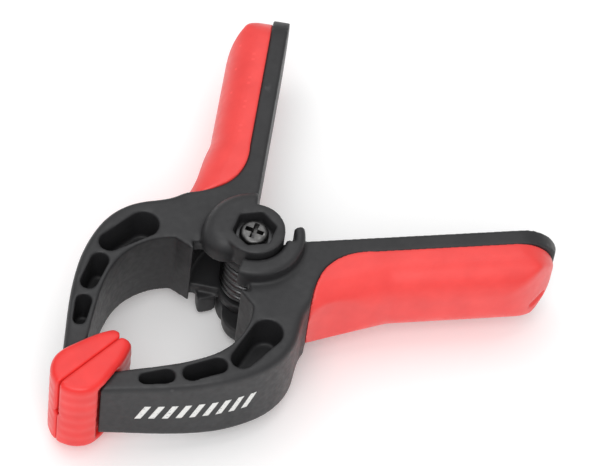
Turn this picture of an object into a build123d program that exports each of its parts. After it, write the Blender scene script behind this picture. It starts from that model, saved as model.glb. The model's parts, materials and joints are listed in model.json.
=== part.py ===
from build123d import *
from math import cos, radians, sin
import os

# Spring clamp, lying on its side: the jaws close along Y, and the pivot runs along Z.
# Origin: the point midway between the two pad faces, where the clamp holds its work.
# +X runs from there to the pivot and on between the handles. +Y is the rear arm's side.
# The two arms are one moulding used twice: the front arm is the rear arm turned half a
# turn about the X axis, so everything below is drawn once, for the rear.
os.makedirs("parts", exist_ok=True)

# ---------------------------------------------------------------- driving dimensions, mm
PIVOT_X = 57.3          # from the middle of the pad faces to the pivot
ARM_HALF = 11.9         # half the depth of an arm, along the pivot
TIP_HALF = 10.2         # the same at the jaw tip, where the arm goes into its pad
TAPER_START = -36.0     # the jaw gets shallower from here, measured from the pivot,
TAPER_END = -63.0       # to here
CHEEK = 4.4             # thickness of the hub cheeks
GAP = 0.3               # clearance between parts that turn past each other

BOSS_R = 8.1            # round boss about the pivot
BOSS_TOP = 17.9         # height of the boss face above the middle plane
BOSS_FOOT = 10.7        # underside of the boss, over the other arm's disc
DOME_R = 13.6           # raised shoulder round the boss, on the arm's own side
DOME_ROUND = 4.2
RING_TOP = 16.2         # crescent on the inner cheek, round the other arm's boss
RING_IN = 8.6
RING_ROUND = 1.4
HOOK_IN = 10.7
CHAMBER_R = 15.8        # space for the spring, between the cheeks
SPIGOT_R = 5.1          # short tube on each inner cheek that keeps the spring centred
SPIGOT_LENGTH = 3.0
POCKET_AF = 10.2        # hexagonal pocket, across flats
POCKET_FLOOR = 13.4
HEX_TURN = 25.2         # direction of one corner of the pocket, degrees from +X

BARREL_R = 3.5          # axle
BORE_R = 3.55
HEX_AF = 10.0
HEX_THICK = 3.2
SCREW_R = 1.98
THREAD_R = 2.02
HEAD_R = 3.9
HEAD_HEIGHT = 2.4
WASHER_R = 4.7
WASHER_THICK = 0.8

HANDLE_ANGLE = 37.4     # each handle leans this far from the X axis
PLATE_IN = 0.7          # inner face of the handle plate, from the line through the pivot
PLATE_OUT = 5.3         # outer face, where the grip begins
GRIP_OUT = 16.3         # outer face of the grip
TIP_LENGTH = 82.9       # end of the plate, from the pivot
TIP_ROUND = 11.3
GRIP_LENGTH = 81.2
GRIP_HALF = 12.1
GRIP_ROUND = 9.0        # outer corners of the D
END_CROWN = 16.0        # length over which the crown comes down at the end
END_CORNER = (3.8, 11.3)    # the end's profile passes here: back from the end, and outward

WIRE_R = 1.15           # spring wire
COIL_R = 6.7            # mean radius of the coil
COIL_TURNS = 4          # whole turns, besides the part turn between the two legs
COIL_PITCH = 2.45
LEG_LENGTH = 30.0
LEG_TOE_IN = 9.0        # each leg leans this far in from its handle, degrees
SLOT_CLEARANCE = 0.35

KNUCKLE_X = -56.5       # round jaw tip on which the pad swivels, from the pivot
KNUCKLE_Y = 4.2
KNUCKLE_R = 2.5
KNUCKLE_HALF = 10.1
SOCKET_R = 2.56
PAD_HALF = 13.4
PAD_CAVITY_HALF = 10.9
PAD_FACE = 0.13         # each pad face stands this far off the plane of symmetry
PAD_OUTER_X = -69.3
PAD_INNER_X = -46.2
PAD_ROUND = 1.6
GROOVE_HALF = 1.2
GROOVE_DEPTH = 0.8
PAD_CHAMFER = 1.7
SLIT_REACH = 2.5        # lead-in between the pads at their outer end, on the screw's side
SLIT_DEPTH = 0.4

SCREW_LENGTH = 16.0
HEAD_ROUND = 1.3
CROSS_LENGTH = 5.0
CROSS_WIDTH = 1.3
CROSS_DEPTH = 1.6
CROSS_TAPER = 8
HEX_CHAMFER = 0.4

# Sector edges about the pivot, in degrees from +X towards +Y.
ROOT_ANGLE = 40.3       # handle root
THROAT_ANGLE = 137.0    # throat end of the outer cheek
NOSE_ANGLE = 188.0      # where the shoulder has run back into the boss
NOSE_R = 7.4
INNER_THROAT_ANGLE = 147.0
RING_END_ANGLE = 57.0
HOOK_END_ANGLE = 33.0

# Plan of the rear arm about the pivot, from jaw tip to handle.
JAW_OUTER = [(-61.2, 7.2), (-48.1, 18.8), (-38.2, 26.0), (-28.5, 30.4), (-21.4, 31.6), (-13.0, 29.6),
             (-6.0, 25.4), (-3.0, 24.4)]
GRIP_EDGE = [(-3.0, 24.4), (4.7, 19.8), (10.5, 18.5), (17.1, 20.1), (22.0, 23.5)]
GRIP_FLARE = [(-3.0, 24.4), (3.0, 25.6), (8.6, 28.8), (17.0, 33.9)]
THROAT = [(-10.9, 10.0), (-14.3, 14.7), (-20.5, 18.5), (-28.5, 19.6), (-38.0, 16.5), (-55.0, 5.3)]

# Plan of the rear pad: its back, with the mouth, from the outer end to the inner end.
PAD_BACK = [(-67.5, 4.8), (-63.4, 7.4), (-57.2, 6.8), (-49.9, 4.8), (-46.5, 3.2)]
MOUTH = [(-61.4, 5.6), (-62.6, 10.0), (-46.4, 10.0), (-55.0, 4.7)]

# Lightening pockets in the jaw, each drawn round two circles: centre and radius.
POCKET_BACK = [(-28.0, 24.8, 3.0), (-17.6, 23.2, 4.1)]
POCKET_MIDDLE = [(-40.7, 19.2, 2.3), (-34.2, 22.2, 2.4)]
POCKET_FRONT = [(-50.4, 12.4, 1.7), (-45.9, 15.6, 2.1)]
POCKETS = [POCKET_BACK, POCKET_MIDDLE, POCKET_FRONT]
POCKET_WEB = 2.0        # web left between the pockets of the two sides
THROAT_MIDDLE = (-28.0, 0.0)
JAW_ROUND = 1.8
EDGE_BREAK = 0.5

CHEEK_JOIN = [(9.0, 18.0), (-15.0, 20.0)]       # where the cheeks run into the spine
JAW_SPAN = (-5.0, 56.0)                         # X between which the jaw's long edges have their middles
DEEP = 60.0                                     # more than the width of an arm, for cuts right through
D_DEPTH = 30.0                                  # the D of the grip reaches this far in from its crown

COIL_HALF_ANGLE = 90 + HANDLE_ANGLE - LEG_TOE_IN    # where each leg leaves the coil
COIL_ANGLE = 360 * (COIL_TURNS + 1) - 2 * COIL_HALF_ANGLE
LEG_Z = COIL_PITCH * COIL_ANGLE / 720

# ------------------------------------------------------------------------------- planes


def level(z):
    """Plan plane through the pivot at height z."""
    return Plane(origin=(PIVOT_X, 0, z), x_dir=(1, 0, 0), z_dir=(0, 0, 1))


def polar(radius, angle):
    """Plan point about the pivot."""
    return (radius * cos(radians(angle)), radius * sin(radians(angle)))


def handle_point(along, outward):
    """Plan point at a distance along the handle and outward from its line."""
    a = radians(HANDLE_ANGLE)
    return (along * cos(a) - outward * sin(a), along * sin(a) + outward * cos(a))


ALONG = (cos(radians(HANDLE_ANGLE)), sin(radians(HANDLE_ANGLE)), 0)
OUTWARD = (-sin(radians(HANDLE_ANGLE)), cos(radians(HANDLE_ANGLE)), 0)
HANDLE_SIDE = Plane(origin=(PIVOT_X, 0, 0), x_dir=ALONG, z_dir=(ALONG[1], -ALONG[0], 0))
HANDLE_END = Plane(origin=(PIVOT_X, 0, 0), x_dir=OUTWARD, z_dir=ALONG)
FLARE_ALONG = (GRIP_FLARE[-1][0] - GRIP_FLARE[0][0], GRIP_FLARE[-1][1] - GRIP_FLARE[0][1], 0)
FLARE_END = Plane(origin=(PIVOT_X + GRIP_FLARE[0][0], GRIP_FLARE[0][1], 0),
                  x_dir=(-FLARE_ALONG[1], FLARE_ALONG[0], 0), z_dir=FLARE_ALONG)

# -------------------------------------------------------------------------- plan outlines
# Each function returns the edges of one closed outline, in plan about the pivot.


def arm_outline():
    """Black part of an arm at full depth: jaw, spine and handle plate, with the spring chamber open."""
    root = handle_point((CHAMBER_R**2 - PLATE_IN**2) ** 0.5, PLATE_IN)
    chamber_end = polar(CHAMBER_R, INNER_THROAT_ANGLE)
    tip_out = handle_point(GRIP_LENGTH, PLATE_OUT)
    tip_in = handle_point(TIP_LENGTH, PLATE_IN)
    with BuildLine() as outline:
        Spline(*JAW_OUTER)
        Spline(*GRIP_EDGE)
        Polyline(GRIP_EDGE[-1], tip_out, tip_in, root)
        ThreePointArc(root, polar(CHAMBER_R, 95), chamber_end)
        Line(chamber_end, THROAT[1])
        Spline(*THROAT[1:])
        Line(THROAT[-1], JAW_OUTER[0])
    return outline.edges()


def cheek_outline(inner_radius, throat_angle):
    """Hub cheek: from inner_radius out into the full-depth body, between handle root and throat."""
    root = handle_point((DOME_R**2 - PLATE_IN**2) ** 0.5, PLATE_IN)
    far_root = handle_point(CHAMBER_R + 3, PLATE_IN)
    start = polar(inner_radius, throat_angle)
    end = polar(inner_radius, ROOT_ANGLE)
    with BuildLine() as outline:
        ThreePointArc(start, polar(inner_radius, 90), end)
        Polyline(end, root, far_root, *CHEEK_JOIN, THROAT[1], THROAT[0], start)
    return outline.edges()


def shoulder_outline():
    """Shoulder round the boss: from the handle root to the throat, where it curls back into the boss."""
    start = polar(DOME_R, ROOT_ANGLE)
    turn = polar(DOME_R, THROAT_ANGLE)
    end = polar(NOSE_R, NOSE_ANGLE)
    with BuildLine() as outline:
        ThreePointArc(start, polar(DOME_R, 90), turn)
        TangentArc(turn, end, tangent=polar(1, THROAT_ANGLE + 90))
        Polyline(end, (0, 0), start)
    return outline.edges()


def sector(inner_radius, outer_radius, start_angle, end_angle):
    """Ring sector about the pivot."""
    middle = (start_angle + end_angle) / 2
    corners = [polar(r, a) for r in (outer_radius, inner_radius) for a in (start_angle, end_angle)]
    with BuildLine() as outline:
        ThreePointArc(corners[0], polar(outer_radius, middle), corners[1])
        Line(corners[1], corners[3])
        ThreePointArc(corners[3], polar(inner_radius, middle), corners[2])
        Line(corners[2], corners[0])
    return outline.edges()


def slot_outline():
    """Slot for the spring's leg: round the leg on its outer side, and open to the handle's inner face."""
    leg = WIRE_R + SLOT_CLEARANCE
    toe = radians(LEG_TOE_IN)
    start = handle_point(COIL_R * sin(toe) + 5 * cos(toe), (COIL_R + leg) * cos(toe) - 5 * sin(toe))
    reach = LEG_LENGTH + leg
    end = handle_point(COIL_R * sin(toe) + reach * cos(toe), (COIL_R + leg) * cos(toe) - reach * sin(toe))
    end_in = handle_point(COIL_R * sin(toe) + reach * cos(toe), -1)
    with BuildLine() as outline:
        Polyline(start, end, end_in, handle_point(5, -1), close=True)
    return outline.edges()


# ----------------------------------------------------------------------------------- arm

with BuildPart() as rear_arm:
    # Jaw, spine and handle plate at full depth.
    with BuildSketch(level(-ARM_HALF)):
        make_face(arm_outline())
    extrude(amount=2 * ARM_HALF)

    # The jaw gets shallower towards its tip.
    for side in (1, -1):
        with BuildSketch(Plane(origin=(PIVOT_X, 0, 0), x_dir=(1, 0, 0), z_dir=(0, -1, 0))):
            with BuildLine():
                Polyline((TAPER_START, side * ARM_HALF), (TAPER_END, side * TIP_HALF),
                         (TAPER_END, side * 2 * ARM_HALF), (TAPER_START, side * 2 * ARM_HALF), close=True)
            make_face()
        extrude(amount=-DEEP, mode=Mode.SUBTRACT)

    # The end of the handle plate is rounded, seen square on.
    with BuildSketch(HANDLE_SIDE):
        with Locations((TIP_LENGTH, 0)):
            Rectangle(2 * TIP_ROUND, 4 * ARM_HALF)
        with Locations((TIP_LENGTH - 2 * TIP_ROUND, 0)):
            RectangleRounded(4 * TIP_ROUND, 2 * ARM_HALF, TIP_ROUND, mode=Mode.SUBTRACT)
    extrude(amount=DEEP, both=True, mode=Mode.SUBTRACT)

    # Long outer edges of the jaw are well rounded, the throat edges only broken.
    jaw_edges = rear_arm.edges().filter_by(GeomType.BSPLINE).filter_by_position(Axis.X, *JAW_SPAN)
    by_depth = jaw_edges.sort_by_distance((PIVOT_X + THROAT_MIDDLE[0], THROAT_MIDDLE[1], 0))
    fillet(by_depth[4:], JAW_ROUND)
    throat_edges = rear_arm.edges().filter_by(GeomType.BSPLINE).filter_by_position(Axis.X, *JAW_SPAN)
    by_depth = throat_edges.sort_by_distance((PIVOT_X + THROAT_MIDDLE[0], THROAT_MIDDLE[1], 0))
    fillet(by_depth[:4], EDGE_BREAK)

    # Outer cheek on top: solid up to the boss, with its rounded shoulder.
    with BuildSketch(level(ARM_HALF - CHEEK)):
        make_face(cheek_outline(BOSS_R + GAP, THROAT_ANGLE))
    extrude(amount=CHEEK)
    with BuildPart(mode=Mode.PRIVATE) as shoulder:
        with BuildSketch(level(BOSS_FOOT)):
            make_face(shoulder_outline())
        extrude(amount=BOSS_TOP - BOSS_FOOT)
        fillet(shoulder.edges().group_by(Axis.Z)[-1].filter_by(GeomType.CIRCLE), DOME_ROUND)
    add(shoulder)
    with BuildSketch(level(BOSS_FOOT)):
        Circle(BOSS_R)
    extrude(amount=BOSS_TOP - BOSS_FOOT)

    # Inner cheek below: a disc under the other arm's boss, and a raised crescent round it.
    with BuildSketch(level(-ARM_HALF)):
        make_face(cheek_outline(RING_IN, INNER_THROAT_ANGLE))
    extrude(amount=CHEEK)
    with BuildSketch(level(CHEEK - ARM_HALF)):
        make_face(cheek_outline(BOSS_R - 1, INNER_THROAT_ANGLE))
        Circle(BOSS_R)
    extrude(amount=-(BOSS_FOOT - GAP - ARM_HALF + CHEEK))
    with BuildPart(mode=Mode.PRIVATE) as crescent:
        with BuildSketch(level(-RING_TOP)):
            make_face(sector(RING_IN, DOME_R, RING_END_ANGLE, INNER_THROAT_ANGLE + 6))
            make_face(sector(HOOK_IN, DOME_R, HOOK_END_ANGLE, RING_END_ANGLE))
        extrude(amount=RING_TOP - ARM_HALF + CHEEK / 2)
        fillet(crescent.edges().group_by(Axis.Z)[0].filter_by(GeomType.CIRCLE), RING_ROUND)
    add(crescent)
    with BuildSketch(level(CHEEK - ARM_HALF)):
        Circle(SPIGOT_R)
    extrude(amount=SPIGOT_LENGTH)

    # Axle bore, and the hexagonal pocket for the screw head or the nut.
    with BuildSketch(level(-2 * ARM_HALF)):
        Circle(BORE_R)
    extrude(amount=4 * ARM_HALF, mode=Mode.SUBTRACT)
    with BuildSketch(level(POCKET_FLOOR)):
        RegularPolygon(POCKET_AF / 2, 6, major_radius=False, rotation=HEX_TURN)
    extrude(amount=BOSS_TOP, mode=Mode.SUBTRACT)

    # Lightening pockets, open to both sides of a thin web.
    for circles in POCKETS:
        for side in (1, -1):
            with BuildSketch(level(side * POCKET_WEB / 2)) as pocket:
                for x, y, radius in circles:
                    with Locations((x, y)):
                        Circle(radius)
                make_hull(pocket.edges())
            extrude(amount=side * ARM_HALF, mode=Mode.SUBTRACT)

    # Slot in the handle plate for the spring's leg.
    with BuildSketch(level(LEG_Z - WIRE_R - SLOT_CLEARANCE)):
        make_face(slot_outline())
    extrude(amount=2 * (WIRE_R + SLOT_CLEARANCE), mode=Mode.SUBTRACT)

    # Round tip inside the pad.
    with BuildSketch(level(-KNUCKLE_HALF)):
        with Locations((KNUCKLE_X, KNUCKLE_Y)):
            Circle(KNUCKLE_R)
    extrude(amount=2 * KNUCKLE_HALF)
rear_arm.part.label = "rear_arm"
export_step(rear_arm.part, "parts/rear_arm.step")

with BuildPart() as front_arm:
    add(rear_arm.part.rotate(Axis.X, 180))
front_arm.part.label = "front_arm"
export_step(front_arm.part, "parts/front_arm.step")

# ---------------------------------------------------------------------------------- grip

with BuildPart() as rear_grip:
    # Plan of the soft cover, from its thin root on the spine to the end of the handle.
    end = handle_point(GRIP_LENGTH, PLATE_OUT)
    end_corner = handle_point(GRIP_LENGTH - END_CORNER[0], END_CORNER[1])
    crown_end = handle_point(GRIP_LENGTH - END_CROWN, GRIP_OUT)
    with BuildSketch(level(-GRIP_HALF)):
        with BuildLine():
            Spline(*GRIP_EDGE)
            Line(GRIP_EDGE[-1], end)
            Spline(end, end_corner, crown_end, tangents=(OUTWARD, [-v for v in ALONG]))
            Line(crown_end, GRIP_FLARE[-1])
            Spline(*GRIP_FLARE)
        make_face()
    extrude(amount=2 * GRIP_HALF)

    # Across the handle it is a D with large outer corners; a second D follows the flare at the root.
    with BuildPart(mode=Mode.PRIVATE) as rounding:
        for plane, crown in ((HANDLE_END, GRIP_OUT), (FLARE_END, 0)):
            with BuildSketch(plane):
                with Locations((crown - D_DEPTH, 0)):
                    RectangleRounded(2 * D_DEPTH, 2 * GRIP_HALF, GRIP_ROUND)
            extrude(amount=2 * TIP_LENGTH, both=True)
    add(rounding, mode=Mode.INTERSECT)

    # Its end is rounded like the end of the plate.
    with BuildSketch(HANDLE_SIDE):
        with Locations((GRIP_LENGTH / 2 - TIP_LENGTH / 2, 0)):
            RectangleRounded(GRIP_LENGTH + TIP_LENGTH, 2 * GRIP_HALF, TIP_ROUND)
    extrude(amount=TIP_LENGTH, both=True, mode=Mode.INTERSECT)
rear_grip.part.label = "rear_grip"
export_step(rear_grip.part, "parts/rear_grip.step")

with BuildPart() as front_grip:
    add(rear_grip.part.rotate(Axis.X, 180))
front_grip.part.label = "front_grip"
export_step(front_grip.part, "parts/front_grip.step")

# ----------------------------------------------------------------------------------- pad

with BuildPart() as rear_pad:
    # A boot with one flat gripping face, round at its outer end and narrower at its inner end.
    with BuildSketch(level(-PAD_HALF)):
        with BuildLine():
            Spline((PAD_OUTER_X, PAD_FACE), *PAD_BACK)
            Polyline(PAD_BACK[-1], (PAD_INNER_X, PAD_FACE), (PAD_OUTER_X, PAD_FACE))
        make_face()
    extrude(amount=2 * PAD_HALF)
    ends = rear_pad.faces().filter_by(Axis.Z).edges()
    fillet(ends.filter_by(lambda e: e.center().Y > PAD_FACE + 0.1), PAD_ROUND)

    # Inside: a socket that snaps over the knuckle, opening out to the mouth round the jaw.
    with BuildSketch(level(-PAD_CAVITY_HALF)):
        with Locations((KNUCKLE_X, KNUCKLE_Y)):
            Circle(SOCKET_R)
        with BuildLine():
            Polyline(*MOUTH, close=True)
        make_face()
    extrude(amount=2 * PAD_CAVITY_HALF, mode=Mode.SUBTRACT)

    # Groove across the gripping face, for rods.
    with BuildSketch(Plane(origin=(0, PAD_FACE, 0), x_dir=(0, 1, 0), z_dir=(-1, 0, 0))):
        with BuildLine():
            Polyline((-GROOVE_DEPTH, -2 * GROOVE_HALF), (GROOVE_DEPTH, 0),
                     (-GROOVE_DEPTH, 2 * GROOVE_HALF), close=True)
        make_face()
    extrude(amount=DEEP + PIVOT_X, both=True, mode=Mode.SUBTRACT)

    # The two faces part in a V at their inner end.
    with BuildSketch(level(-PAD_HALF)):
        with BuildLine():
            Polyline((PAD_INNER_X - PAD_CHAMFER, PAD_FACE), (PAD_INNER_X + PAD_CHAMFER, PAD_FACE),
                     (PAD_INNER_X + PAD_CHAMFER, PAD_FACE + 2 * PAD_CHAMFER), close=True)
        make_face()
    extrude(amount=2 * PAD_HALF, mode=Mode.SUBTRACT)

    # At their outer end there is a thin lead-in, down to the groove.
    with BuildSketch(level(0)):
        with BuildLine():
            Polyline((PAD_OUTER_X - SLIT_REACH, PAD_FACE), (PAD_OUTER_X + SLIT_REACH, PAD_FACE),
                     (PAD_OUTER_X - SLIT_REACH, PAD_FACE + 2 * SLIT_DEPTH), close=True)
        make_face()
    extrude(amount=PAD_HALF, mode=Mode.SUBTRACT)
rear_pad.part.label = "rear_pad"
export_step(rear_pad.part, "parts/rear_pad.step")

with BuildPart() as front_pad:
    add(mirror(rear_pad.part, about=Plane.XZ, mode=Mode.PRIVATE))
front_pad.part.label = "front_pad"
export_step(front_pad.part, "parts/front_pad.step")

# ----------------------------------------------------------------------- pivot and spring

with BuildPart() as barrel_nut:
    with BuildSketch(level(-POCKET_FLOOR)):
        RegularPolygon(HEX_AF / 2, 6, major_radius=False, rotation=-HEX_TURN)
    extrude(amount=-HEX_THICK)
    chamfer(barrel_nut.edges().group_by(Axis.Z)[0], HEX_CHAMFER)
    with BuildSketch(level(-POCKET_FLOOR)):
        Circle(BARREL_R)
    extrude(amount=2 * POCKET_FLOOR)
    with BuildSketch(level(POCKET_FLOOR)):
        Circle(THREAD_R)
    extrude(amount=-2 * ARM_HALF - BOSS_TOP, mode=Mode.SUBTRACT)
barrel_nut.part.label = "barrel_nut"
export_step(barrel_nut.part, "parts/barrel_nut.step")

with BuildPart() as screw_washer:
    with BuildSketch(level(POCKET_FLOOR)):
        Circle(WASHER_R)
        Circle(THREAD_R, mode=Mode.SUBTRACT)
    extrude(amount=WASHER_THICK)
screw_washer.part.label = "screw_washer"
export_step(screw_washer.part, "parts/screw_washer.step")

with BuildPart() as pivot_screw:
    seat = POCKET_FLOOR + WASHER_THICK
    with BuildSketch(level(seat)):
        Circle(HEAD_R)
    extrude(amount=HEAD_HEIGHT)
    fillet(pivot_screw.edges().group_by(Axis.Z)[-1], HEAD_ROUND)
    with BuildSketch(level(seat)):
        Circle(SCREW_R)
    extrude(amount=-SCREW_LENGTH)
    # Cross recess.
    with BuildSketch(level(seat + HEAD_HEIGHT)):
        for turn in (0, 90):
            Rectangle(CROSS_LENGTH, CROSS_WIDTH, rotation=turn + HEX_TURN)
    extrude(amount=-CROSS_DEPTH, taper=CROSS_TAPER, mode=Mode.SUBTRACT)
pivot_screw.part.label = "pivot_screw"
export_step(pivot_screw.part, "parts/pivot_screw.step")

with BuildPart() as torsion_spring:
    # Left-hand coil with a straight leg at each end: the front arm's below, the rear arm's above.
    coil = Helix(COIL_PITCH, 2 * LEG_Z, COIL_R, lefthand=True, center=(0, 0, -LEG_Z))
    with BuildLine() as wire:
        add(coil.rotate(Axis.Z, -COIL_HALF_ANGLE).translate((PIVOT_X, 0, 0)))
        for side in (-1, 1):
            heel = Vector(PIVOT_X, 0, side * LEG_Z) + Vector(*polar(COIL_R, side * COIL_HALF_ANGLE))
            Line(heel, heel + Vector(*polar(LEG_LENGTH, side * (COIL_HALF_ANGLE - 90))))
    path = wire.wires()[0]
    with BuildSketch(Plane(origin=path @ 0, z_dir=path % 0)):
        Circle(WIRE_R)
    sweep(path=path, is_frenet=True, transition=Transition.TRANSFORMED)
torsion_spring.part.label = "torsion_spring"
export_step(torsion_spring.part, "parts/torsion_spring.step")
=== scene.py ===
"""A spring clamp lying on its side: the looks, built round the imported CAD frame."""
import json
import math

import bmesh
import bpy
from mathutils import Matrix, Vector
from mathutils.bvhtree import BVHTree
from mathutils.geometry import intersect_point_line


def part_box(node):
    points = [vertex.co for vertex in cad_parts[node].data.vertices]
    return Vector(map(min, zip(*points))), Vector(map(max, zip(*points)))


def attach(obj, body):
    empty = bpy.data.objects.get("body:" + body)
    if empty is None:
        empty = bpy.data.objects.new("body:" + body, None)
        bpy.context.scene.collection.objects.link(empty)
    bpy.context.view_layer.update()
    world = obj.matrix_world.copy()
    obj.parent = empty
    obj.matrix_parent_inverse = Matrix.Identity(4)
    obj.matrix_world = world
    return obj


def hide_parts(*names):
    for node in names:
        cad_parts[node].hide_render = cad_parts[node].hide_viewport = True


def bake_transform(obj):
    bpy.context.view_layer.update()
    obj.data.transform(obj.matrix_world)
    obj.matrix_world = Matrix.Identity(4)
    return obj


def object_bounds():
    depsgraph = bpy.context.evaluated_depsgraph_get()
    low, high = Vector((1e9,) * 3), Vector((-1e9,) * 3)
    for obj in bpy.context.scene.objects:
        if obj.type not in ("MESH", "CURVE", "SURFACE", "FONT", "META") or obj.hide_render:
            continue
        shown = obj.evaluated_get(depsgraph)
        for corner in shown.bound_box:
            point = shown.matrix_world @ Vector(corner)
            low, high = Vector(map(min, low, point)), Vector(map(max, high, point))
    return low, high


MM = 0.001

# ------------------------------------------------------------------ sizes, in metres and degrees
VOXEL = 0.40 * MM            # size of the even faces that the mouldings are remeshed to
ARM_FACES = 0.42             # share of those faces kept after rounding
SOFT_FACES = 0.60
ARM_STEPS = 5                # rounds of smoothing, which set how soft the edges are
GRIP_STEPS = 6
PAD_STEPS = 4
SOFT_STEPS = 40              # more rounds, where a shape flows into the next

# Where shapes flow: each pair is where the added smoothing starts and where it is full.
FOOT_INNER = (11.0 * MM, 12.5 * MM)      # foot of the shoulder, by the distance from the pivot
FOOT_OUTER = (18.5 * MM, 16.5 * MM)
FOOT_LEVEL = (9 * MM, 11 * MM)           # its height above mid-depth
FOOT_START = (48, 56)                    # its direction from the pivot
FOOT_END = (134, 126)
GRIP_ALONG = (18 * MM, 30 * MM)          # crown and end of the grip, along the handle
GRIP_OUTWARD = (6 * MM, 9 * MM)          # and outward from its line
PAD_ENDS = (9.5 * MM, 12 * MM)           # domed ends of the pad, from mid-depth
PAD_OUTWARD = (1.2 * MM, 2.4 * MM)       # and outward from its gripping face
PAD_SHARE = 0.8                          # share of that smoothing which the pad gets

WIRE = 1.15 * MM             # spring wire radius
COIL = 6.7 * MM              # mean radius of the coil
LEG = 30 * MM                # length of each of its legs
COIL_TURNS = 4
LEG_HALF_ANGLE = 28.4        # half the angle between the two legs
HANDLE_ANGLE = 37.4          # each handle leans this far from the X axis
POINTS_PER_TURN = 48
POINTS_PER_LEG = 12
WIRE_SIDES = 20
WIRE_BEVEL = 0.25            # rounding of the wire's ends, as a share of its radius

RIB_PITCH = 3.9 * MM         # faint ribs round the pads
RIB_HEIGHT = 0.045 * MM
RIB_OUTWARD = (0.6 * MM, 2 * MM)         # where they begin, from the gripping face
RIB_FACING = (0.6, 0.2)                  # they are on the walls, and fade out where these turn up or down
PAD_CLOSER = 0.09 * MM       # the pads' faces move together by this, so that they all but touch
PAD_FACE_DEPTH = (1.5 * MM, 0.3 * MM)    # how much of the pad moves with its face

RECESS_FROM = Vector((78.2, 10.5, 4.4)) * MM     # oblong recess in the end of each grip: along the handle,
RECESS_TO = Vector((75.3, 12.9, 5.4)) * MM       # outward from its line, and up from mid-depth
RECESS_HALF = 1.1 * MM
RECESS_DEPTH = 0.7 * MM
RECESS_WALL = (1.3, 0.7)     # its wall slopes between these shares of its half width

PRINT_FROM = Vector((-55.0, -14.5)) * MM         # printed bars on the front jaw, in plan about the pivot
PRINT_TO = Vector((-28.0, -30.0)) * MM
PRINT_AWAY = 20 * MM         # the bars are laid on the jaw's wall from this far outside it
BAR_COUNT = 9
BAR_HEIGHT = 5.4 * MM
BAR_SHARE = 0.46             # width of a bar as a share of the pitch
BAR_SLANT = 2.4 * MM
BAR_COLUMNS = 6              # faces across and up each bar, so that it follows the curved wall
BAR_ROWS = 10
INK = 0.05 * MM              # the bars reach this far above and below the wall's surface

FLOOR_SIZE = 6
WORLD_STRENGTH = 0.50
KEY_LIGHT = ((-0.45, -0.40, 0.80), 0.7, 5.0)     # place, width and power in watts
TOP_LIGHT = ((0.15, 0.25, 0.9), 0.9, 3.5)

CAMERA_LENS = 190            # mm on a 36 mm sensor
CAMERA_DISTANCE = 0.831
CAMERA_TOWARDS = Vector((0.477, 0.375, -0.795)).normalized()
CAMERA_ROLL = 8.58
CAMERA_LEVEL = 11.9 * MM     # the point it is set up from: the pivot at the top face of the arms
CAMERA_SHIFT = (-12.3 * MM, -2.2 * MM)           # where that point lies from the middle of the picture

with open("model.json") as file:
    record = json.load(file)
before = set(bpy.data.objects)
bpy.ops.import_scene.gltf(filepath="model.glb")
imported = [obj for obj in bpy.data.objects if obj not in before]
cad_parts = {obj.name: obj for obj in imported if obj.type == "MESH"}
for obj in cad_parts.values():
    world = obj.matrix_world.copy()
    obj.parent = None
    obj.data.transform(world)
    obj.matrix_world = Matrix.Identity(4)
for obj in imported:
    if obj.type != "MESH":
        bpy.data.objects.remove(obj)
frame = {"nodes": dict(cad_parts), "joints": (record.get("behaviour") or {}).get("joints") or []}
CAD_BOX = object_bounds()
PIVOT = Vector(next(j["pos_m"] for j in frame["joints"] if j["name"] == "arm_pivot"))
SPRING_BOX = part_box("torsion_spring")
LEG_LEVEL = SPRING_BOX[1].z - WIRE


# ------------------------------------------------------------------------------ node helpers
class Shader:
    """A new material with its principled shader, and short ways to add and join nodes."""

    def __init__(self, name):
        self.material = bpy.data.materials.new(name)
        self.material.use_nodes = True
        self.tree = self.material.node_tree
        self.base = self.tree.nodes["Principled BSDF"]
        self.place = self.add("ShaderNodeTexCoord").outputs["Object"]

    def add(self, kind, **values):
        node = self.tree.nodes.new(kind)
        for name, value in values.items():
            setattr(node, name, value)
        return node

    def join(self, source, target):
        self.tree.links.new(source, target)

    def set(self, **values):
        for name, value in values.items():
            self.base.inputs[name.replace("_", " ")].default_value = value

    def noise(self, size, detail=2.0):
        """Noise from 0 to 1 with features of that size, in metres."""
        texture = self.add("ShaderNodeTexNoise")
        texture.inputs["Scale"].default_value = 1 / size
        texture.inputs["Detail"].default_value = detail
        self.join(self.place, texture.inputs["Vector"])
        return texture.outputs["Fac"]

    def remap(self, source, low, high, start=0.3, end=0.7):
        node = self.add("ShaderNodeMapRange")
        for name, value in (("From Min", start), ("From Max", end), ("To Min", low), ("To Max", high)):
            node.inputs[name].default_value = value
        self.join(source, node.inputs["Value"])
        return node.outputs["Result"]

    def mix(self, share, first, second):
        node = self.add("ShaderNodeMix", data_type="RGBA")
        self.join(share, node.inputs[0])
        for socket, value in ((node.inputs[6], first), (node.inputs[7], second)):
            if isinstance(value, tuple):
                socket.default_value = (*value, 1)
            else:
                self.join(value, socket)
        return node.outputs[2]

    def bump(self, height, depth, below=None):
        node = self.add("ShaderNodeBump")
        node.inputs["Distance"].default_value = depth
        node.inputs["Strength"].default_value = 1
        self.join(height, node.inputs["Height"])
        if below is not None:
            self.join(below, node.inputs["Normal"])
        return node.outputs["Normal"]

    def edges(self, start, end):
        """0 on flat and hollow places, 1 on worn outer edges."""
        pointiness = self.add("ShaderNodeNewGeometry").outputs["Pointiness"]
        return self.remap(pointiness, 0, 1, start, end)


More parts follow.
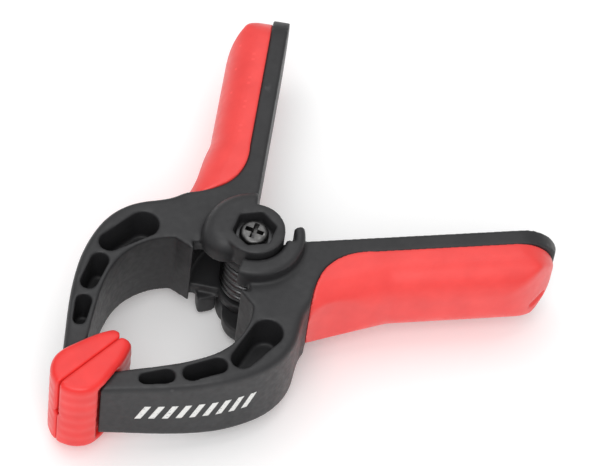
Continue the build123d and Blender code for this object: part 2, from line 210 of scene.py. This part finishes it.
# --------------------------------------------------------------------------------- materials
def black_nylon():
    """Glass-filled nylon: near black, matt, with a fine spark-eroded grain and paler rubbed edges."""
    s = Shader("black_nylon")
    patches = s.mix(s.remap(s.noise(9 * MM), 0, 1), (0.019, 0.019, 0.0205), (0.025, 0.025, 0.0265))
    colour = s.mix(s.edges(0.52, 0.62), patches, (0.042, 0.042, 0.044))
    s.join(colour, s.base.inputs["Base Color"])
    s.join(s.remap(s.noise(1.6 * MM, 4), 0.42, 0.56), s.base.inputs["Roughness"])
    grain = s.bump(s.noise(0.32 * MM, 3), 0.018 * MM)
    s.join(s.bump(s.noise(5 * MM, 1), 0.05 * MM, grain), s.base.inputs["Normal"])
    s.set(Specular_IOR_Level=0.42)
    return s.material


def red_soft(name, pale, deep, roughness, grain_size):
    """Soft red plastic: satin, with a faint mottle and a fine skin."""
    s = Shader(name)
    mottle = s.mix(s.remap(s.noise(7 * MM, 3), 0, 1), deep, pale)
    colour = s.mix(s.edges(0.53, 0.66), mottle, tuple(min(1, c * 1.06 + 0.012) for c in pale))
    s.join(colour, s.base.inputs["Base Color"])
    s.join(s.remap(s.noise(2.2 * MM, 3), roughness - 0.05, roughness + 0.06), s.base.inputs["Roughness"])
    skin = s.bump(s.noise(grain_size, 3), 0.014 * MM)
    s.join(s.bump(s.noise(6 * MM, 1), 0.02 * MM, skin), s.base.inputs["Normal"])
    s.set(Subsurface_Weight=0.08, Subsurface_Scale=1.2 * MM, Sheen_Weight=0.05, Sheen_Roughness=0.5)
    s.base.inputs["Subsurface Radius"].default_value = (1.0, 0.25, 0.2)
    return s.material


def steel(name, dark, pale, roughness):
    """Plated or drawn steel, with fine tool marks and a slight stain."""
    s = Shader(name)
    stain = s.mix(s.remap(s.noise(1.8 * MM, 4), 0, 1), dark, pale)
    colour = s.mix(s.edges(0.51, 0.6), stain, tuple(min(1, c * 1.7) for c in pale))
    s.join(colour, s.base.inputs["Base Color"])
    s.join(s.remap(s.noise(0.5 * MM, 3), roughness - 0.08, roughness + 0.12), s.base.inputs["Roughness"])
    s.join(s.bump(s.noise(0.25 * MM, 3), 0.01 * MM), s.base.inputs["Normal"])
    s.set(Metallic=1.0)
    return s.material


def white_ink():
    """Pad-printed ink, slightly worn through to the nylon."""
    s = Shader("white_ink")
    worn = s.remap(s.noise(0.5 * MM, 4), 0, 1, 0.60, 0.72)
    s.join(s.mix(worn, (0.78, 0.78, 0.76), (0.20, 0.20, 0.20)), s.base.inputs["Base Color"])
    s.join(s.remap(s.noise(0.8 * MM), 0.5, 0.7), s.base.inputs["Roughness"])
    s.join(s.bump(s.noise(0.3 * MM, 3), 0.01 * MM), s.base.inputs["Normal"])
    return s.material


def pale_floor():
    """Plain pale studio floor, slightly lit from itself so that it stays white round the clamp."""
    s = Shader("pale_floor")
    s.join(s.mix(s.noise(0.2, 2), (0.955, 0.955, 0.955), (0.975, 0.975, 0.975)), s.base.inputs["Base Color"])
    s.set(Roughness=0.9, Specular_IOR_Level=0.1, Emission_Strength=0.12)
    s.base.inputs["Emission Color"].default_value = (1, 1, 1, 1)
    return s.material


# ------------------------------------------------------------------------------ mesh helpers
def new_piece(name, mesh, material):
    piece = bpy.data.objects.new(name, mesh)
    bpy.context.scene.collection.objects.link(piece)
    piece.data.materials.clear()
    piece.data.materials.append(material)
    shade_smooth(piece)
    return piece


def shade_smooth(piece):
    for polygon in piece.data.polygons:
        polygon.use_smooth = True


def freeze(piece):
    """Puts the result of the piece's modifiers into its mesh."""
    shown = piece.evaluated_get(bpy.context.evaluated_depsgraph_get())
    mesh = bpy.data.meshes.new_from_object(shown)
    piece.modifiers.clear()
    old, piece.data = piece.data, mesh
    bpy.data.meshes.remove(old)


def ramp(value, start, end):
    """0 at start, 1 at end, and smooth between."""
    share = min(1, max(0, (value - start) / (end - start)))
    return share * share * (3 - 2 * share)


def rounded_copy(node, name, material, steps, keep, soft=None, shape=None):
    """A copy of a CAD node, remeshed evenly and smoothed, so that its edges are as soft as moulded ones.

    soft gives the places, from 0 to 1, that are smoothed much more, and shape moves single vertices."""
    piece = new_piece(name, frame["nodes"][node].data.copy(), material)
    remesh = piece.modifiers.new("even", "REMESH")
    remesh.mode = "VOXEL"
    remesh.voxel_size = VOXEL
    smooth = piece.modifiers.new("round", "SMOOTH")
    smooth.factor = 0.5
    smooth.iterations = steps
    freeze(piece)
    if soft is not None:
        group = piece.vertex_groups.new(name="soft")
        for vertex in piece.data.vertices:
            group.add([vertex.index], soft(vertex.co), "REPLACE")
        extra = piece.modifiers.new("soft", "SMOOTH")
        extra.vertex_group = "soft"
        extra.factor = 0.5
        extra.iterations = SOFT_STEPS
        freeze(piece)
        piece.vertex_groups.clear()
    if shape is not None:
        normals = [vertex.normal.copy() for vertex in piece.data.vertices]
        for vertex, normal in zip(piece.data.vertices, normals):
            vertex.co = shape(vertex.co, normal)
    lighter = piece.modifiers.new("lighter", "DECIMATE")
    lighter.ratio = keep
    freeze(piece)
    shade_smooth(piece)
    return piece


def plan(point, turned):
    """The place about the pivot as on the rear arm: the front arm is the same moulding, turned over."""
    place = point - PIVOT
    return Vector((place.x, -place.y, -place.z)) if turned else place


def along_handle(place):
    """How far a place is along the rear handle, and how far outward from its line."""
    lean = math.radians(HANDLE_ANGLE)
    along = place.x * math.cos(lean) + place.y * math.sin(lean)
    outward = place.y * math.cos(lean) - place.x * math.sin(lean)
    return along, outward


# ------------------------------------------------------------------------------------ pieces
def make_arms(material):
    for side in ("rear", "front"):
        node = f"{side}_arm"

        def soft(point, turned=side == "front"):
            """The foot of the shoulder, where it flows into the flat of the arm."""
            place = plan(point, turned)
            radius = place.xy.length
            angle = math.degrees(math.atan2(place.y, place.x))
            ring = ramp(radius, *FOOT_INNER) * ramp(radius, *FOOT_OUTER)
            return ring * ramp(place.z, *FOOT_LEVEL) * ramp(angle, *FOOT_START) * ramp(angle, *FOOT_END)

        arm = rounded_copy(node, f"{node}_moulding", material, ARM_STEPS, ARM_FACES, soft)
        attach(arm, node)
        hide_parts(node)


def make_grips(material):
    for side in ("rear", "front"):
        node = f"{side}_grip"

        def soft(point, turned=side == "front"):
            """The rounded end and the crown of the grip, but not its edge on the black plate."""
            along, outward = along_handle(plan(point, turned))
            return ramp(along, *GRIP_ALONG) * ramp(outward, *GRIP_OUTWARD)

        def recess(point, normal, turned=side == "front"):
            """Pushes in an oblong recess near the end of the grip."""
            place = plan(point, turned)
            place = Vector((*along_handle(place), place.z))
            share = intersect_point_line(place, RECESS_FROM, RECESS_TO)[1]
            nearest = RECESS_FROM.lerp(RECESS_TO, min(1, max(0, share)))
            walls = [RECESS_HALF * wall for wall in RECESS_WALL]
            return point - normal * RECESS_DEPTH * ramp((place - nearest).length, *walls)

        grip = rounded_copy(node, f"{node}_cover", material, GRIP_STEPS, SOFT_FACES, soft, recess)
        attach(grip, f"{side}_arm")
        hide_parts(node)


def make_pads(material):
    for side in ("rear", "front"):
        node = f"{side}_pad"

        def soft(point):
            """The domed ends of the pad, but not the edges of its gripping face."""
            return ramp(abs(point.z), *PAD_ENDS) * ramp(abs(point.y), *PAD_OUTWARD) * PAD_SHARE

        def shape(point, normal):
            """Faint ribs round the boot, and faces that nearly touch."""
            rib = RIB_HEIGHT * math.cos(2 * math.pi * point.z / RIB_PITCH) * ramp(abs(normal.z), *RIB_FACING)
            moved = point + normal * rib * ramp(abs(point.y), *RIB_OUTWARD)
            moved.y -= math.copysign(PAD_CLOSER, point.y) * ramp(abs(point.y), *PAD_FACE_DEPTH)
            return moved

        pad = rounded_copy(node, f"{node}_boot", material, PAD_STEPS, SOFT_FACES, soft, shape)
        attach(pad, node)
        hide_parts(node)


def spring_line():
    """Centre line of the spring: the front arm's leg, the coil upwards, then the rear arm's leg."""
    half = 90 + LEG_HALF_ANGLE
    sweep = 360 * (COIL_TURNS + 1) - 2 * half
    count = round(POINTS_PER_TURN * sweep / 360)
    points = []
    for i in range(count + 1):
        angle = math.radians(-half - sweep * i / count)
        level = LEG_LEVEL * (2 * i / count - 1)
        points.append(Vector((COIL * math.cos(angle), COIL * math.sin(angle), level)))
    steps = [LEG * i / POINTS_PER_LEG for i in range(POINTS_PER_LEG, 0, -1)]
    for side, ends in ((-1, points[0].copy()), (1, points[-1].copy())):
        toe = math.radians(side * LEG_HALF_ANGLE)
        leg = [ends + Vector((math.cos(toe), math.sin(toe), 0)) * step for step in steps]
        points = leg + points if side < 0 else points + leg[::-1]
    return [PIVOT + p for p in points]


def wire_mesh(points, radius, sides):
    """Closed round wire along the points, with slightly rounded ends."""
    mesh = bmesh.new()
    rings = []
    normal = Vector((0, 0, 1))
    count = len(points)
    for i, point in enumerate(points):
        along = (points[min(i + 1, count - 1)] - points[max(i - 1, 0)]).normalized()
        normal = (normal - along * normal.dot(along)).normalized()
        across = along.cross(normal)
        ring = []
        for k in range(sides):
            angle = 2 * math.pi * k / sides
            outward = normal * math.cos(angle) + across * math.sin(angle)
            ring.append(mesh.verts.new(point + outward * radius))
        rings.append(ring)
    for first, second in zip(rings, rings[1:]):
        for k in range(sides):
            mesh.faces.new((first[k], first[(k + 1) % sides], second[(k + 1) % sides], second[k]))
    caps = [mesh.faces.new(ring) for ring in (rings[0][::-1], rings[-1])]
    rims = [edge for cap in caps for edge in cap.edges]
    bmesh.ops.bevel(mesh, geom=rims, offset=radius * WIRE_BEVEL, segments=2, affect="EDGES")
    bmesh.ops.recalc_face_normals(mesh, faces=mesh.faces)
    made = bpy.data.meshes.new("wire")
    mesh.to_mesh(made)
    mesh.free()
    return made


def make_spring(material):
    spring = new_piece("torsion_spring_wire", wire_mesh(spring_line(), WIRE, WIRE_SIDES), material)
    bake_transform(spring)
    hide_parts("torsion_spring")


def make_print(material):
    """A row of slanted bars printed on the front jaw's outer wall."""
    arm = bpy.data.objects["front_arm_moulding"]
    faces = [face.vertices[:] for face in arm.data.polygons]
    wall = BVHTree.FromPolygons([vertex.co for vertex in arm.data.vertices], faces)
    along = (PRINT_TO - PRINT_FROM).to_3d()
    inward = Vector((along.y, -along.x, 0)).normalized() * -1
    start = PIVOT + PRINT_FROM.to_3d() - inward * PRINT_AWAY
    mesh = bmesh.new()
    for bar in range(BAR_COUNT):
        grids = []
        for depth in (INK, -INK):
            grid = []
            for row in range(BAR_ROWS + 1):
                height = BAR_HEIGHT * (row / BAR_ROWS - 0.5)
                slant = along.normalized() * BAR_SLANT * row / BAR_ROWS
                line = []
                for column in range(BAR_COLUMNS + 1):
                    share = (bar + BAR_SHARE * (column / BAR_COLUMNS)) / BAR_COUNT
                    origin = start + along * share + slant + Vector((0, 0, height))
                    hit, normal, _, _ = wall.ray_cast(origin, inward)
                    line.append(mesh.verts.new(hit + normal * depth))
                grid.append(line)
            grids.append(grid)
        close_grids(mesh, *grids)
    bmesh.ops.recalc_face_normals(mesh, faces=mesh.faces)
    made = bpy.data.meshes.new("bars")
    mesh.to_mesh(made)
    mesh.free()
    bars = new_piece("printed_bars", made, material)
    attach(bars, "front_arm")


def close_grids(mesh, outer, inner):
    """Faces over two matching grids of vertices and round their rim."""
    rows, columns = len(outer) - 1, len(outer[0]) - 1
    for row in range(rows):
        for column in range(columns):
            for grid in (outer, inner):
                mesh.faces.new((grid[row][column], grid[row][column + 1],
                                grid[row + 1][column + 1], grid[row + 1][column]))
    rim = [(0, c) for c in range(columns)] + [(r, columns) for r in range(rows)]
    rim += [(rows, c) for c in range(columns, 0, -1)] + [(r, 0) for r in range(rows, 0, -1)]
    for (r0, c0), (r1, c1) in zip(rim, rim[1:] + rim[:1]):
        mesh.faces.new((outer[r0][c0], outer[r1][c1], inner[r1][c1], inner[r0][c0]))


def dress_hardware():
    """The screw, nut and washer keep their CAD shape; the screw gets dark plated steel, and the washer gets
    near-black steel as painted shade of the pocket round the screw, a colour the nut shares.
    """
    screw = steel("dark_steel", dark=(0.05, 0.05, 0.052), pale=(0.17, 0.168, 0.165), roughness=0.36)
    # near black: painted shade of the pocket round the screw head, used for the washer and the nut
    black = steel("steel_painted_pocket_shade", dark=(0.030, 0.030, 0.032), pale=(0.060, 0.060, 0.062), roughness=0.42)
    for node, material in (("pivot_screw", screw), ("barrel_nut", black), ("screw_washer", black)):
        shown = frame["nodes"][node]
        shown.data.materials.clear()
        shown.data.materials.append(material)


# ------------------------------------------------------------------- floor, light and camera
def make_floor():
    bpy.ops.mesh.primitive_plane_add(size=FLOOR_SIZE, location=(PIVOT.x, 0, CAD_BOX[0].z))
    floor = bpy.context.object
    floor.name = "floor"
    floor.data.materials.append(pale_floor())


def add_light(name, place, size, power):
    """A square area light, aimed at the pivot."""
    data = bpy.data.lights.new(name, "AREA")
    data.size = size
    data.energy = power
    light = bpy.data.objects.new(name, data)
    light.location = place
    light.rotation_euler = (PIVOT - Vector(place)).to_track_quat("-Z", "Y").to_euler()
    bpy.context.scene.collection.objects.link(light)


def make_light():
    world = bpy.data.worlds.new("studio")
    bpy.context.scene.world = world
    world.use_nodes = True
    background = world.node_tree.nodes["Background"]
    background.inputs["Color"].default_value = (1, 1, 1, 1)
    background.inputs["Strength"].default_value = WORLD_STRENGTH
    add_light("key", *KEY_LIGHT)
    add_light("top", *TOP_LIGHT)
    bpy.context.scene.view_settings.view_transform = "Standard"


def make_camera():
    """The camera looks along CAMERA_TOWARDS, rolled, with the pivot placed by CAMERA_SHIFT."""
    data = bpy.data.cameras.new("camera")
    data.lens = CAMERA_LENS
    camera = bpy.data.objects.new("camera", data)
    bpy.context.scene.collection.objects.link(camera)
    level_right = CAMERA_TOWARDS.cross(Vector((0, 0, 1))).normalized()
    turned = Matrix.Rotation(math.radians(CAMERA_ROLL), 3, -CAMERA_TOWARDS)
    right = turned @ level_right
    up = right.cross(CAMERA_TOWARDS)
    aim = PIVOT + Vector((0, 0, CAMERA_LEVEL)) - right * CAMERA_SHIFT[0] - up * CAMERA_SHIFT[1]
    axes = Matrix((right, up, -CAMERA_TOWARDS)).transposed().to_4x4()
    camera.matrix_world = Matrix.Translation(aim - CAMERA_TOWARDS * CAMERA_DISTANCE) @ axes
    bpy.context.scene.camera = camera


make_arms(black_nylon())
make_grips(red_soft("grip_red", pale=(0.88, 0.062, 0.056), deep=(0.80, 0.048, 0.044),
                    roughness=0.40, grain_size=0.40 * MM))
make_pads(red_soft("pad_red", pale=(0.86, 0.030, 0.026), deep=(0.76, 0.020, 0.018),
                   roughness=0.36, grain_size=0.55 * MM))
# the spring's near-black steel colour is painted shade of the dark chamber between the cheeks
make_spring(steel("spring_steel_painted_shade", dark=(0.045, 0.045, 0.046), pale=(0.10, 0.10, 0.102), roughness=0.32))
make_print(white_ink())
dress_hardware()
make_floor()
make_light()
make_camera()
